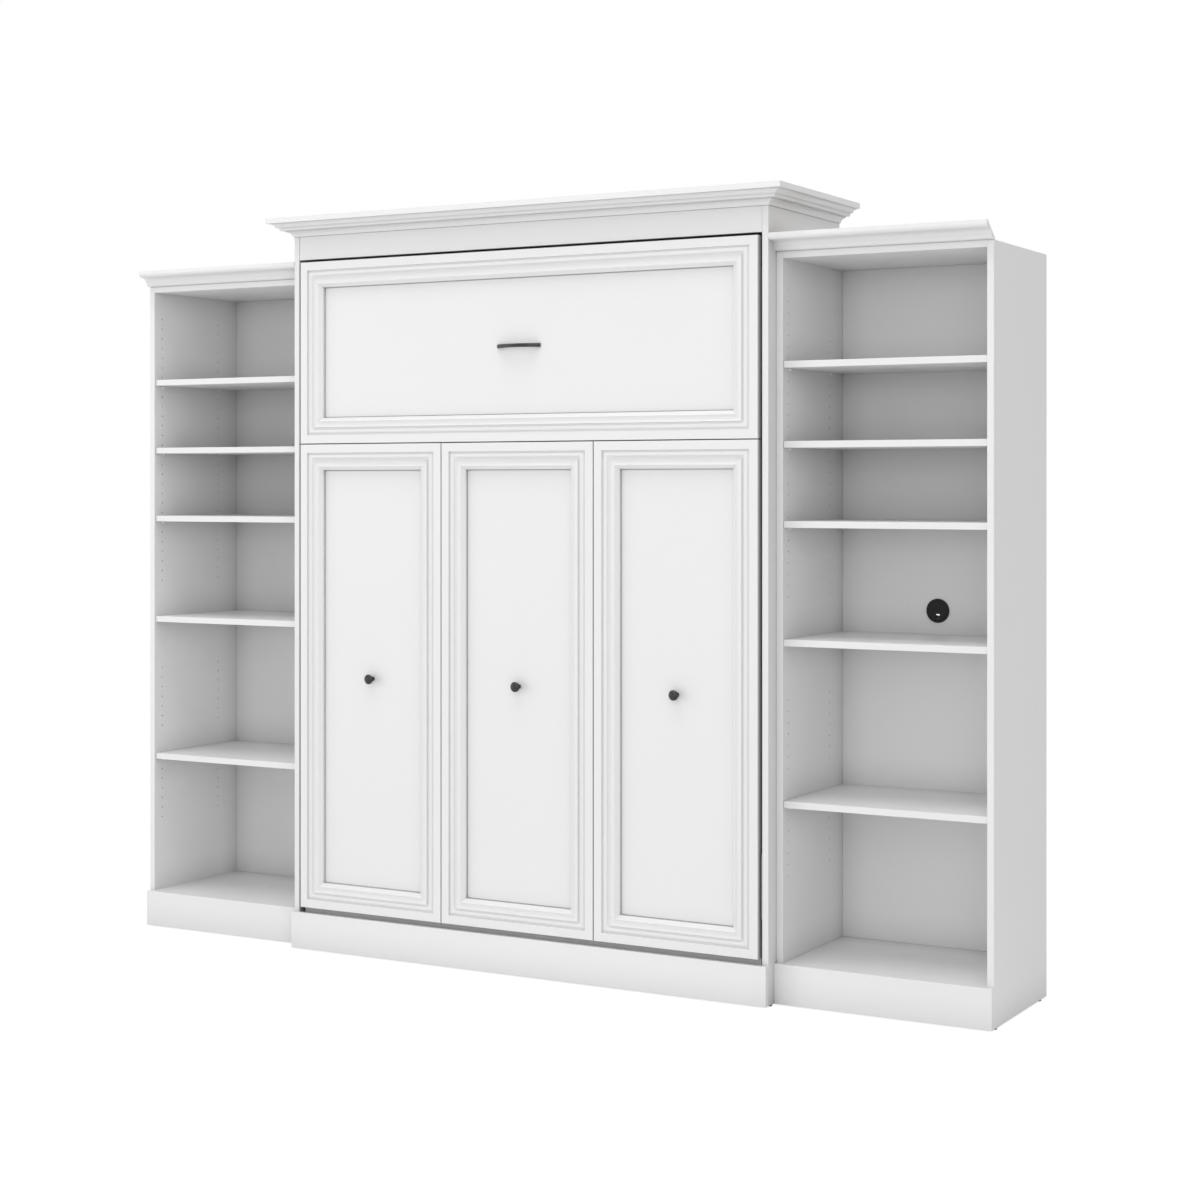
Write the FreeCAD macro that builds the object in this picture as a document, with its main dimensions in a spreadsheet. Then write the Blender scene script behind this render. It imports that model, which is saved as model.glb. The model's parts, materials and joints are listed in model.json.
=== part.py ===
import FreeCAD, Part
import os
import re
import Sketcher

# Driving sizes, in millimetres
SIZES = {
    # Boards and floor
    "board": 19,
    "edge_round": 1,
    "lift": 4,
    "glide_radius": 9,
    "glide_inset": 25,
    "overrun": 2,
    "running": 0.08,
    "clear_gap": 0.4,
    # Bed cabinet
    "bed_width": 1638,
    "bed_depth": 501,
    "bed_height": 2228,
    "header_height": 74,
    "header_set": 1,
    "header_fit": 0.5,
    "plinth_height": 112,
    "plinth_board": 17,
    "lower_rail_height": 100,
    "upper_rail_height": 120,
    "headboard_rise": 480,
    "headboard_height": 760,
    "bed_back_board": 6,
    "wall_bolt_radius": 4.5,
    "wall_bolt_span": 800,
    "wall_bolt_rise": 60,
    # Crowns
    "crown_foot": 9,
    "bed_crown_out": 65,
    "bed_crown_height": 56,
    "book_crown_out": 55,
    "book_crown_height": 48,
    "crown_block_length": 90,
    "crown_block_deep": 22,
    "crown_block_inset": 40,
    # Bookcases
    "book_width": 635,
    "book_depth": 447,
    "book_drop": 125,
    "back_set": 426,
    "back_board": 6,
    "shelf_set": 6,
    "shelf_fit": 0.6,
    "hole_radius": 2.5,
    "hole_deep": 12,
    "hole_pitch": 32,
    "row_front": 38.5,
    "row_span": 288,
    "upper_holes_drop": 105,
    "upper_holes_up": 136,
    "middle_holes_drop": 153,
    "lower_holes_drop": 456,
    "pin_deep": 10,
    "pin_head_radius": 3.5,
    "pin_head_long": 9,
    # Cable grommets
    "grommet_up": 87,
    "grommet_radius": 35,
    "grommet_barrel": 30,
    "grommet_seat": 27.7,
    "grommet_bore": 24,
    "grommet_flange": 2.5,
    "grommet_long": 14,
    "grommet_cap_thick": 3,
    "cable_notch_wide": 12,
    "cable_notch_deep": 18,
    # Fronts
    "face_proud": 8,
    "face_gap": 10,
    "face_top_gap": 8,
    "face_bottom_gap": 16,
    "front_gap": 3,
    "top_front_height": 567,
    "strip_width": 80,
    "strip_depth": 20,
    "front_panel": 5,
    "groove_wide": 2.5,
    "groove_deep": 2.5,
    # Pull and knobs
    "pull_long": 158,
    "pull_foot": 15,
    "pull_rise": 30,
    "pull_gap": 21,
    "pull_tall": 11,
    "pull_round": 2,
    "knob_base": 7,
    "knob_stem": 4.5,
    "knob_neck": 19,
    "knob_foot": 2,
    "knob_head": 15,
    "knob_head_low": 22,
    "knob_rim": 2.5,
    "knob_tall": 32,
    # Bed frame
    "rail_side": 34,
    "rail_width": 30,
    "rail_deep": 45,
    "rail_wall": 2,
    "rail_top_drop": 14,
    "head_beam_low": 92,
    "head_beam_height": 80,
    "slat_width": 60,
    "slat_thick": 10,
    "slat_inset": 11,
    "slat_first": 108,
    "slat_top_gap": 106,
    # Mattress
    "mattress_side": 4,
    "mattress_top_gap": 30,
    "mattress_thick": 250,
    "mattress_low": 84,
    "mattress_round": 38,
    "mattress_rest": 0.3,
    # Bed pivots
    "pivot_back": 40,
    "pivot_high": 330,
    "pivot_radius": 10,
    "pivot_plate": 4,
    "pivot_plate_wide": 76,
    "pivot_plate_height": 180,
    "bush_wall": 3,
    "bush_flange": 2.5,
    "bush_lip": 5,
    "arm_plate": 6,
    "arm_gap": 4,
    "arm_back": 106,
    "arm_low": 236,
    "arm_high": 430,
    # Fold-out leg
    "leg_back": 150,
    "leg_drop": 17,
    "leg_splay": 120,
    "leg_bar_radius": 13,
    "leg_bar_gap": 8,
    "leg_arm_thick": 8,
    "leg_arm_wide": 24,
    "leg_arm_gap": 12,
    "leg_stud_radius": 6,
    "leg_head_radius": 9,
    "leg_head_thick": 3,
    "leg_bracket_thick": 5,
    "leg_bracket_tall": 80,
    "leg_bracket_end": 17,
    # Gas struts
    "strut_back": 200,
    "strut_high": 890,
    "lever_back": 50,
    "lever_down": 62,
    "strut_inset": 13,
    "strut_tube_radius": 10,
    "strut_tube_long": 470,
    "strut_rod_radius": 5,
    "strut_rod_long": 200,
    "strut_eye_radius": 10,
    "strut_eye_thick": 12,
    "strut_stud_radius": 4,
    "strut_plate": 3,
    "strut_plate_wide": 40,
    "strut_plate_tall": 70,
}

# Height of the fixed shelf in its bookcase
FIXED_SHELF_SHARE = 0.47456
# Sizes that follow from others
DERIVED = {
    "book_height": "bed_height - book_drop",
    "fixed_rise": "book_height * %g" % FIXED_SHELF_SHARE,
    "upper_holes_top": "book_height - upper_holes_drop",
    "middle_holes_top": "fixed_rise - middle_holes_drop",
    "lower_holes_top": "fixed_rise - lower_holes_drop",
    "grommet_rise": "fixed_rise + grommet_up",
    "rail_out": "bed_width / 2 - board - rail_side",
    "slat_half": "rail_out - slat_inset",
    "slat_last": "bed_height - header_height - face_top_gap - slat_top_gap",
    "mattress_width": "2 * rail_out - 2 * mattress_side",
    "mattress_long": "bed_height - header_height - face_top_gap - mattress_low - mattress_top_gap",
    "leg_arm_out": "rail_out + leg_arm_gap",
    "strut_out": "bed_width / 2 - board - strut_inset",
}

# Counts
MIDDLE_HOLES = 7
LOWER_HOLES = 7
SHELVES_ABOVE = 3
SLATS = 13

# Shares of the crown's reach and height at each corner, from the foot round to the back
BED_CROWN_OUT_SHARES = (0.05, 0.3, 0.3, 0.5, 0.54, 0.66, 0.86, 0.86, 1, 1, 0.88)
BED_CROWN_UP_SHARES = (0, 0.27, 0.33, 0.33, 0.49, 0.49, 0.68, 0.71, 0.71, 1, 1)
BOOK_CROWN_OUT_SHARES = (0.1, 0.31, 0.34, 0.64, 0.66, 0.8, 1, 1, 0.89)
BOOK_CROWN_UP_SHARES = (0, 0.19, 0.23, 0.56, 0.58, 0.58, 0.79, 1, 1)
CROWN_HEEL_SHARE = 0.1
# Arcs in the sections: the edge, its radius as a share of the height or width, and the side of its centre
BED_CROWN_BEND_SHARES = {1: (0.33, -1), 6: (0.22, -1)}
BOOK_CROWN_BEND_SHARES = {1: (0.24, 1), 3: (0.4, -1), 6: (0.25, 1)}
STRIP_BEND_SHARES = {5: (0.13, -1), 8: (0.17, 1)}
# Corners of the moulding strip: across from the outer edge, and up from its back
STRIP_ACROSS_SHARES = (0, 0.015, 0.325, 0.333, 0.375, 0.565, 0.616, 0.625, 0.86, 0.99, 1)
STRIP_UP_SHARES = (0.95, 1, 1, 0.76, 0.76, 0.76, 0.76, 1, 0.975, 0.48, 0.44)
# Glue blocks behind a crown, along its length
BLOCK_PLACE_SHARES = (0.06, 0.5, 0.94)
# Cross rails, from the lower to the upper end of the side rails
CROSS_RAIL_SHARES = (0.06, 0.34, 0.62, 0.985)

doc = FreeCAD.newDocument("wall_bed")
sheet = doc.addObject("Spreadsheet::Sheet", "Sizes")
for row, (size_name, size) in enumerate(SIZES.items(), 1):
    sheet.set("A%d" % row, size_name)
    sheet.set("B%d" % row, str(size))
    sheet.setAlias("B%d" % row, size_name)
doc.recompute()


def words(formula):
    """The formula with every size name pointed at its cell."""
    def cell(found):
        name = found.group(0)
        if name in DERIVED:
            return "(%s)" % words(DERIVED[name])
        return "Sizes." + name if name in SIZES else name
    return re.sub(r"[a-z][a-z_]*", cell, formula)


def value(formula):
    """The formula's present value as a plain number."""
    result = sheet.evalExpression(words(formula))
    return float(getattr(result, "Value", result))


def bind(item, field, formula):
    """Tie one property of an object to the sheet."""
    item.setExpression(field, words(formula))


def place(item, x, y, z):
    """Tie an object's place to the sheet, keeping its rotation."""
    bind(item, "Placement.Base.x", x)
    bind(item, "Placement.Base.y", y)
    bind(item, "Placement.Base.z", z)


def turned(item, *turns):
    """Set an object's rotation from (axis, degrees) pairs, the first applied first."""
    total = FreeCAD.Rotation()
    for axis, degrees in turns:
        total = FreeCAD.Rotation(axis, degrees).multiply(total)
    item.Placement.Rotation = total


X_AXIS = FreeCAD.Vector(1, 0, 0)
Y_AXIS = FreeCAD.Vector(0, 1, 0)
Z_AXIS = FreeCAD.Vector(0, 0, 1)
QUARTER = 90
HALF_TURN = 180


def new_body(label):
    """An empty body."""
    body = doc.addObject("PartDesign::Body", label)
    body.Label = label
    return body


def origin_feature(body, role):
    """One of the body's own origin planes or axes."""
    return [feature for feature in body.Origin.OriginFeatures if feature.Role == role][0]


def new_sketch(body, role, name):
    """A sketch on one of the body's origin planes."""
    sketch = body.newObject("Sketcher::SketchObject", name)
    sketch.AttachmentSupport = [(origin_feature(body, role), "")]
    sketch.MapMode = "FlatFace"
    return sketch


def tie(sketch, constraint, name, formula):
    """Add a constraint and tie its value to the sheet."""
    index = sketch.addConstraint(constraint)
    sketch.renameConstraint(index, name)
    bind(sketch, "Constraints." + name, formula)


def hold_point(sketch, edge, end, u, v):
    """Hold one end of an edge at (u, v) from the sketch's origin."""
    for axis, kind, formula in ((-2, "DistanceX", u), (-1, "DistanceY", v)):
        if formula == "0":
            sketch.addConstraint(Sketcher.Constraint("PointOnObject", edge, end, axis))
        else:
            fixed = Sketcher.Constraint(kind, -1, 1, edge, end, value(formula))
            tie(sketch, fixed, "%s_%d" % (kind, edge), formula)


def bend(start, end, radius, turn):
    """The arc from start to end; turn is 1 when its centre lies to the left of the way."""
    chord = end - start
    middle = (start + end) * 0.5
    left = FreeCAD.Vector(-chord.y, chord.x, 0) / chord.Length
    reach = max(radius ** 2 - (chord.Length / 2) ** 2, 0) ** 0.5
    crest = middle - left * (turn * (radius - reach))
    ends = (start, end) if turn > 0 else (end, start)
    return Part.Arc(ends[0], crest, ends[1])


def outline(sketch, corners, bends={}):
    """A closed outline through the corners; bends holds (radius, turn) for edges that are arcs."""
    points = [FreeCAD.Vector(value(u), value(v), 0) for u, v in corners]
    count = len(points)
    first = sketch.GeometryCount
    heads = []
    for index in range(count):
        start, end = points[index], points[(index + 1) % count]
        if index in bends:
            radius, turn = bends[index]
            sketch.addGeometry(bend(start, end, value(radius), turn))
            heads.append((1, 2) if turn > 0 else (2, 1))
        else:
            sketch.addGeometry(Part.LineSegment(start, end))
            heads.append((1, 2))
    for index in range(count):
        after = (index + 1) % count
        meet = Sketcher.Constraint("Coincident", first + index, heads[index][1], first + after, heads[after][0])
        sketch.addConstraint(meet)
    for index in range(count):
        hold_point(sketch, first + index, heads[index][0], *corners[index])
        if index in bends:
            radius = bends[index][0]
            rounding = Sketcher.Constraint("Radius", first + index, value(radius))
            tie(sketch, rounding, "radius_%d" % (first + index), radius)


def circle(sketch, u, v, radius):
    """A full circle centred at (u, v)."""
    centre = FreeCAD.Vector(value(u), value(v), 0)
    edge = sketch.addGeometry(Part.Circle(centre, Z_AXIS, value(radius)))
    hold_point(sketch, edge, 3, u, v)
    tie(sketch, Sketcher.Constraint("Radius", edge, value(radius)), "radius_%d" % edge, radius)


def pad(body, sketch, length):
    """Extrude a sketch along its normal."""
    feature = body.newObject("PartDesign::Pad", sketch.Name + "_pad")
    feature.Profile = sketch
    bind(feature, "Length", length)
    return feature


def pocket(body, sketch, depth, ahead):
    """Cut a sketch into the body; ahead cuts along the sketch's normal."""
    doc.recompute()
    before = body.Shape.Volume
    feature = body.newObject("PartDesign::Pocket", sketch.Name + "_cut")
    feature.Profile = sketch
    feature.Reversed = ahead
    bind(feature, "Length", depth)
    doc.recompute()
    if not body.Shape.Volume < before:
        raise ValueError("nothing was cut by " + sketch.Name)
    return feature


def soften(body, feature, radius):
    """Round every edge of a feature."""
    doc.recompute()
    edges = body.newObject("PartDesign::Fillet", body.Name + "_edges")
    edges.Base = (feature, [""])
    edges.UseAllEdges = True
    bind(edges, "Radius", radius)
    return edges


def panel(label, x, y, z, wide, deep, tall, radius="edge_round"):
    """A board with softened edges."""
    body = new_body(label)
    block = body.newObject("PartDesign::AdditiveBox", label + "_board")
    bind(block, "Length", wide)
    bind(block, "Width", deep)
    bind(block, "Height", tall)
    soften(body, block, radius)
    place(body, x, y, z)
    return body


def block(name, x, y, z, wide, deep, tall):
    """A plain box."""
    item = doc.addObject("Part::Box", name)
    bind(item, "Length", wide)
    bind(item, "Width", deep)
    bind(item, "Height", tall)
    place(item, x, y, z)
    return item


def bar(name, way, x, y, z, radius, length):
    """A plain cylinder that runs along X, Y or Z from its place."""
    item = doc.addObject("Part::Cylinder", name)
    bind(item, "Radius", radius)
    bind(item, "Height", length)
    if way == "X":
        turned(item, (Y_AXIS, QUARTER))
    if way == "Y":
        turned(item, (X_AXIS, -QUARTER))
    place(item, x, y, z)
    return item


def joined(label, pieces):
    """Several solids made into one."""
    item = doc.addObject("Part::MultiFuse", label)
    item.Shapes = pieces
    item.Label = label
    return item


def minus(label, base, tool):
    """One solid with another cut out of it."""
    item = doc.addObject("Part::Cut", label)
    item.Base = base
    item.Tool = tool
    item.Label = label
    return item


def group(label, pieces):
    """Separate solids that share one node."""
    item = doc.addObject("Part::Compound", label)
    item.Links = pieces
    item.Label = label
    return item


def across(sign, near, far):
    """Where a piece between two distances from the middle starts, on the left or the right."""
    return near if sign > 0 else "-(%s)" % far


nodes = []
SIDES = (("left", -1), ("right", 1))

# Places that many pieces share
HALF = "bed_width / 2"
INNER_HALF = "(bed_width / 2 - board)"
INNER = "(bed_width - 2 * board)"
BED_TOP = "(lift + bed_height)"
BOOK_TOP = "(lift + book_height)"
HEADER_LOW = "(lift + bed_height - header_height)"
FACE_FRONT = "(-bed_depth - face_proud)"
PANEL_FRONT = "(-bed_depth - face_proud + strip_depth)"
FACE_BACK = "(-bed_depth - face_proud + strip_depth + front_panel)"
FACE_TOP = "(lift + bed_height - header_height - face_top_gap)"
FACE_LOW = "(lift + plinth_height + face_bottom_gap)"
FACE_HALF = "(bed_width / 2 - board - face_gap)"
DOOR_TOP = "(%s - top_front_height - front_gap)" % FACE_TOP
DOOR_WIDE = "((2 * %s - 2 * front_gap) / 3)" % FACE_HALF
SLAT_FRONT = "(%s + rail_deep)" % FACE_BACK
PIVOT_Y = "(-bed_depth + pivot_back)"
PIVOT_Z = "(lift + pivot_high)"


# Shelf pin holes above the fixed shelf, and how many holes down each shelf sits
UPPER_HOLES = round(value("(upper_holes_top - fixed_rise - upper_holes_up) / hole_pitch")) + 1
SHELF_STEPS = [round(UPPER_HOLES * shelf / (SHELVES_ABOVE + 1)) for shelf in range(1, SHELVES_ABOVE + 1)]


# Bed cabinet
def bed_cabinet():
    """The carcass that stands against the wall."""
    for side, sign in SIDES:
        x = across(sign, INNER_HALF, HALF)
        nodes.append(panel("bed_side_" + side, x, "-bed_depth", "lift", "board", "bed_depth", "bed_height"))
    wide = "(%s - 2 * header_fit)" % INNER
    nodes.append(panel("bed_header", "-%s + header_fit" % INNER_HALF, "-bed_depth + header_set", HEADER_LOW,
                       wide, "board", "header_height"))
    nodes.append(panel("bed_top", "-" + INNER_HALF, "-bed_depth + header_set + board", BED_TOP + " - board",
                       INNER, "bed_depth - header_set - board", "board"))
    nodes.append(panel("bed_plinth", "-" + HALF, "-bed_depth - plinth_board", "lift",
                       "bed_width", "plinth_board", "plinth_height"))
    nodes.append(block("lower_rail", "-" + INNER_HALF, "-board", "0", INNER, "board", "lower_rail_height"))
    nodes.append(panel("headboard", "-" + INNER_HALF, "-board", "lift + headboard_rise",
                       INNER, "board", "headboard_height"))
    nodes.append(wall_rail())
    backs = []
    spans = (("lower", "lower_rail_height", "(lift + headboard_rise)"),
             ("upper", "(lift + headboard_rise + headboard_height)", "(%s - board - upper_rail_height)" % BED_TOP))
    for name, low, high in spans:
        backs.append(panel("bed_back_" + name, "-" + INNER_HALF, "-bed_back_board", low,
                           INNER, "bed_back_board", "%s - %s" % (high, low)))
    nodes.append(group("bed_backs", backs))


def wall_rail():
    """The upper rail with four holes for the wall bolts."""
    rail = panel("wall_rail", "-" + INNER_HALF, "-board", BED_TOP + " - board - upper_rail_height",
                 INNER, "board", "upper_rail_height")
    holes = new_sketch(rail, "XZ_Plane", "wall_bolt_holes")
    for u_sign in ("-", "+"):
        for v_sign in ("-", "+"):
            u = "%s / 2 %s wall_bolt_span / 2" % (INNER, u_sign)
            v = "upper_rail_height / 2 %s wall_bolt_rise / 2" % v_sign
            circle(holes, u, v, "wall_bolt_radius")
    pocket(rail, holes, "board + overrun", False)
    return rail


# Crowns
def bends_of(size, bend_shares):
    """The radius formula and side of each arc in a section."""
    return {edge: ("%s * %g" % (size, share), turn) for edge, (share, turn) in bend_shares.items()}


def crown_outline(sketch, out, tall, out_shares, up_shares, bend_shares):
    """The crown's section: out from its heel, up from the cabinet's top."""
    corners = [("0", "0")]
    for out_share, up_share in zip(out_shares, up_shares):
        up = "%s * %g" % (tall, up_share) if up_share else "0"
        corners.append(("crown_foot + %s * %g" % (out, out_share), up))
    corners.append(("0", "%s * %g" % (tall, CROWN_HEEL_SHARE)))
    outline(sketch, corners, bends_of(tall, bend_shares))


def bed_crown_piece(label, length, cut_start, cut_end):
    """A length of bed crown along X, mitred at the ends that are named."""
    body = new_body(label)
    section = new_sketch(body, "YZ_Plane", label + "_section")
    crown_outline(section, "bed_crown_out", "bed_crown_height", BED_CROWN_OUT_SHARES, BED_CROWN_UP_SHARES,
                  BED_CROWN_BEND_SHARES)
    pad(body, section, length)
    reach = "(crown_foot + bed_crown_out)"
    cuts = new_sketch(body, "XY_Plane", label + "_mitres")
    if cut_start:
        outline(cuts, [("0", "0"), (reach, "0"), ("0", reach)])
    if cut_end:
        outline(cuts, [(length, "0"), (length, reach), ("%s - %s" % (length, reach), "0")])
    pocket(body, cuts, "bed_crown_height + overrun", True)
    return body


def crowns():
    """The mitred crown round the bed cabinet and a straight crown on each bookcase."""
    length = "(bed_width + 2 * bed_crown_out)"
    front = bed_crown_piece("bed_crown_front", length, True, True)
    turned(front, (Z_AXIS, HALF_TURN))
    place(front, HALF + " + bed_crown_out", "-bed_depth + crown_foot", BED_TOP)
    nodes.append(front)
    run = "(bed_depth + bed_crown_out)"
    right = bed_crown_piece("bed_crown_return_right", run, False, True)
    turned(right, (Z_AXIS, -QUARTER))
    place(right, HALF + " - crown_foot", "0", BED_TOP)
    left = bed_crown_piece("bed_crown_return_left", run, True, False)
    turned(left, (Z_AXIS, QUARTER))
    place(left, "-" + HALF + " + crown_foot", "-bed_depth - bed_crown_out", BED_TOP)
    nodes.append(group("bed_crown_returns", [left, right]))
    for side, sign in SIDES:
        body = new_body("bookcase_crown_" + side)
        section = new_sketch(body, "YZ_Plane", "bookcase_crown_section_" + side)
        crown_outline(section, "book_crown_out", "book_crown_height", BOOK_CROWN_OUT_SHARES,
                      BOOK_CROWN_UP_SHARES, BOOK_CROWN_BEND_SHARES)
        pad(body, section, "book_width")
        turned(body, (Z_AXIS, HALF_TURN))
        place(body, across(sign, HALF + " + book_width", HALF), "-book_depth + crown_foot", BOOK_TOP)
        nodes.append(body)


def crown_block(label, kind, top_share, turn, x, y, z):
    """A glue block that fills the corner behind a crown, level with its slanted back."""
    body = new_body(label)
    section = new_sketch(body, "YZ_Plane", label + "_section")
    heel = "%s_crown_height * %g" % (kind, CROWN_HEEL_SHARE)
    rise = "%s_crown_height / 2" % kind
    slope = "(crown_foot + %s_crown_out * %g) / (%s_crown_height * %g)" % (kind, top_share, kind, 1 - CROWN_HEEL_SHARE)
    run = "(%s - %s) * %s" % (rise, heel, slope)
    corners = [("0", "0"), ("crown_block_deep", "0"), ("crown_block_deep", heel),
               ("crown_block_deep + " + run, rise), ("0", rise)]
    outline(section, corners)
    pad(body, section, "crown_block_length")
    turned(body, (Z_AXIS, turn))
    place(body, x, y, z)
    return body


def crown_blocks():
    """The glue blocks on the three cabinet tops."""
    blocks = []
    for index, share in enumerate(BLOCK_PLACE_SHARES, 1):
        x = "-%s + bed_width * %g + crown_block_length / 2" % (HALF, share)
        blocks.append(crown_block("bed_crown_block_%d" % index, "bed", BED_CROWN_OUT_SHARES[-1], HALF_TURN,
                                  x, "-bed_depth + crown_foot + crown_block_deep", BED_TOP))
    for side, sign in SIDES:
        x = across(sign, HALF + " - crown_foot - crown_block_deep", HALF + " - crown_foot - crown_block_deep")
        turn = -QUARTER if sign > 0 else QUARTER
        way = "+" if sign > 0 else "-"
        y = "-bed_depth / 2 %s crown_block_length / 2" % way
        blocks.append(crown_block("bed_return_block_" + side, "bed", BED_CROWN_OUT_SHARES[-1], turn,
                                  x, y, BED_TOP))
        for index, share in enumerate(BLOCK_PLACE_SHARES, 1):
            start = across(sign, HALF, HALF + " + book_width")
            x = "%s + crown_block_length / 2 + book_width * %g" % (start, share)
            if share < 0.5:
                x = "%s + crown_block_inset + crown_block_length" % start
            if share > 0.5:
                x = "%s + book_width - crown_block_inset" % start
            blocks.append(crown_block("bookcase_block_%s_%d" % (side, index), "book",
                                      BOOK_CROWN_OUT_SHARES[-1], HALF_TURN, x,
                                      "-book_depth + crown_foot + crown_block_deep", BOOK_TOP))
    nodes.append(group("crown_blocks", blocks))


# Bookcases
def bookcase_side(label, x, flipped):
    """A side with its three runs of shelf pin holes; flipped turns the holes to face the right."""
    side = panel(label, x, "-book_depth", "lift", "board", "book_depth", "book_height")
    rows = ("row_front", "row_front + row_span")
    if flipped:
        turned(side, (Z_AXIS, HALF_TURN))
        place(side, x + " + board", "0", "lift")
        rows = ("book_depth - row_front", "book_depth - row_front - row_span")
    runs = (("upper", UPPER_HOLES), ("middle", MIDDLE_HOLES), ("lower", LOWER_HOLES))
    for run, count in runs:
        holes = new_sketch(side, "YZ_Plane", "%s_%s_holes" % (label, run))
        for row in rows:
            circle(holes, row, "%s_holes_top - hole_pitch * %d" % (run, count - 1), "hole_radius")
        first = pocket(side, holes, "hole_deep", True)
        side.Tip = first
        pattern = side.newObject("PartDesign::LinearPattern", "%s_%s_run" % (label, run))
        pattern.Originals = [first]
        pattern.Direction = (origin_feature(side, "Z_Axis"), [""])
        bind(pattern, "Length", "hole_pitch * %d" % (count - 1))
        pattern.Occurrences = count
        side.Tip = pattern
    return side


def bookcase_pins(side, low, high):
    """Four pins under each adjustable shelf."""
    pins = []
    rises = ["upper_holes_top - hole_pitch * %d" % step for step in SHELF_STEPS]
    rises.append("lower_holes_top")
    for level, rise in enumerate(rises, 1):
        for row in ("row_front", "row_front + row_span"):
            for wall, start in (("a", low + " - pin_deep"), ("b", high + " - pin_head_long")):
                name = "shelf_pin_%s_%d_%s_%s" % (side, level, "rear" if "span" in row else "front", wall)
                stem = bar(name + "_stem", "X", start, "-book_depth + " + row, "lift + " + rise,
                           "hole_radius", "pin_deep + pin_head_long")
                head_start = low if wall == "a" else high + " - pin_head_long"
                head = bar(name + "_head", "X", head_start, "-book_depth + " + row, "lift + " + rise,
                           "pin_head_radius", "pin_head_long")
                pins.append(joined(name, [stem, head]))
    return pins


def adjustable_shelves(side, low, wide):
    """The four shelves that rest on pins."""
    shelves = []
    rises = ["upper_holes_top - hole_pitch * %d" % step for step in SHELF_STEPS]
    rises.append("lower_holes_top")
    for level, rise in enumerate(rises, 1):
        shelves.append(panel("shelf_%s_%d" % (side, level), low + " + shelf_fit", "-book_depth + shelf_set",
                             "lift + %s + pin_head_radius" % rise, "%s - 2 * shelf_fit" % wide,
                             "back_set - shelf_set - shelf_fit", "board"))
    return group("adjustable_shelves_" + side, shelves)


def grommet(side, middle):
    """A flanged ring in the back panel and a cap that turns in it."""
    ring = new_body("grommet_ring_" + side)
    section = new_sketch(ring, "XZ_Plane", "grommet_section_" + side)
    seat = "grommet_cap_thick + 2 * clear_gap"
    corners = [("grommet_seat", "0"), ("grommet_radius", "0"), ("grommet_radius", "grommet_flange"),
               ("grommet_barrel", "grommet_flange"), ("grommet_barrel", "grommet_long"),
               ("grommet_bore", "grommet_long"), ("grommet_bore", seat), ("grommet_seat", seat)]
    outline(section, corners)
    spin = ring.newObject("PartDesign::Revolution", "grommet_spin_" + side)
    spin.Profile = section
    spin.ReferenceAxis = (section, ["V_Axis"])
    spin.Angle = 2 * HALF_TURN
    turned(ring, (X_AXIS, -QUARTER))
    front = "-book_depth + back_set - grommet_flange"
    place(ring, middle, front, "lift + grommet_rise")
    disc = bar("grommet_disc_" + side, "Y", middle, front + " + clear_gap", "lift + grommet_rise",
               "grommet_seat - clear_gap", "grommet_cap_thick")
    notch = block("cable_notch_" + side, middle + " - cable_notch_wide / 2", front + " + clear_gap - overrun",
                  "lift + grommet_rise - grommet_seat - overrun", "cable_notch_wide",
                  "grommet_cap_thick + 2 * overrun", "cable_notch_deep + overrun")
    nodes.append(minus("grommet_cap_" + side, disc, notch))
    return ring


def bookcases():
    """Both open bookcases with all that is fixed in them."""
    pins = []
    rings = []
    fixed = []
    for side, sign in SIDES:
        start = across(sign, HALF, HALF + " + book_width")
        low = "%s + board" % start
        high = "%s + book_width - board" % start
        wide = "(book_width - 2 * board)"
        left_side = "inner" if sign > 0 else "outer"
        right_side = "outer" if sign > 0 else "inner"
        nodes.append(bookcase_side("bookcase_%s_side_%s" % (left_side, side), start, True))
        nodes.append(bookcase_side("bookcase_%s_side_%s" % (right_side, side), high, False))
        nodes.append(panel("bookcase_top_" + side, low, "-book_depth", BOOK_TOP + " - board",
                           wide, "book_depth", "board"))
        nodes.append(panel("bookcase_bottom_" + side, low, "-book_depth", "lift + plinth_height - board",
                           wide, "book_depth", "board"))
        nodes.append(panel("bookcase_plinth_" + side, start, "-book_depth - plinth_board", "lift",
                           "book_width", "plinth_board", "plinth_height"))
        back = panel("bookcase_back_" + side, low, "-book_depth + back_set", "lift + plinth_height",
                     wide, "back_board", "book_height - board - plinth_height")
        hole = new_sketch(back, "XZ_Plane", "grommet_hole_" + side)
        circle(hole, wide + " / 2", "grommet_rise - plinth_height", "grommet_barrel")
        pocket(back, hole, "back_board + overrun", False)
        nodes.append(back)
        fixed.append(panel("fixed_shelf_" + side, low, "-book_depth + shelf_set", "lift + fixed_rise",
                           wide, "back_set - shelf_set", "board"))
        nodes.append(adjustable_shelves(side, low, wide))
        pins += bookcase_pins(side, low, high)
        rings.append(grommet(side, "%s + book_width / 2" % start))
    nodes.append(group("fixed_shelves", fixed))
    nodes.append(group("shelf_pins", pins))
    nodes.append(group("grommet_rings", rings))


def floor_glides():
    """A pair of glides under every side panel."""
    glides = []
    places = []
    for side, sign in SIDES:
        places.append(("bed_" + side, across(sign, "1", "1") + " * (bed_width / 2 - board / 2)", "bed_depth"))
        near = across(sign, "1", "1") + " * (bed_width / 2 + board / 2)"
        far = across(sign, "1", "1") + " * (bed_width / 2 + book_width - board / 2)"
        places.append(("bookcase_inner_" + side, near, "book_depth"))
        places.append(("bookcase_outer_" + side, far, "book_depth"))
    for name, x, deep in places:
        glides.append(bar("glide_front_" + name, "Z", x, "-%s + glide_inset" % deep, "0", "glide_radius", "lift"))
        glides.append(bar("glide_rear_" + name, "Z", x, "-2 * glide_inset", "0", "glide_radius", "lift"))
    nodes.append(group("floor_glides", glides))


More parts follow.
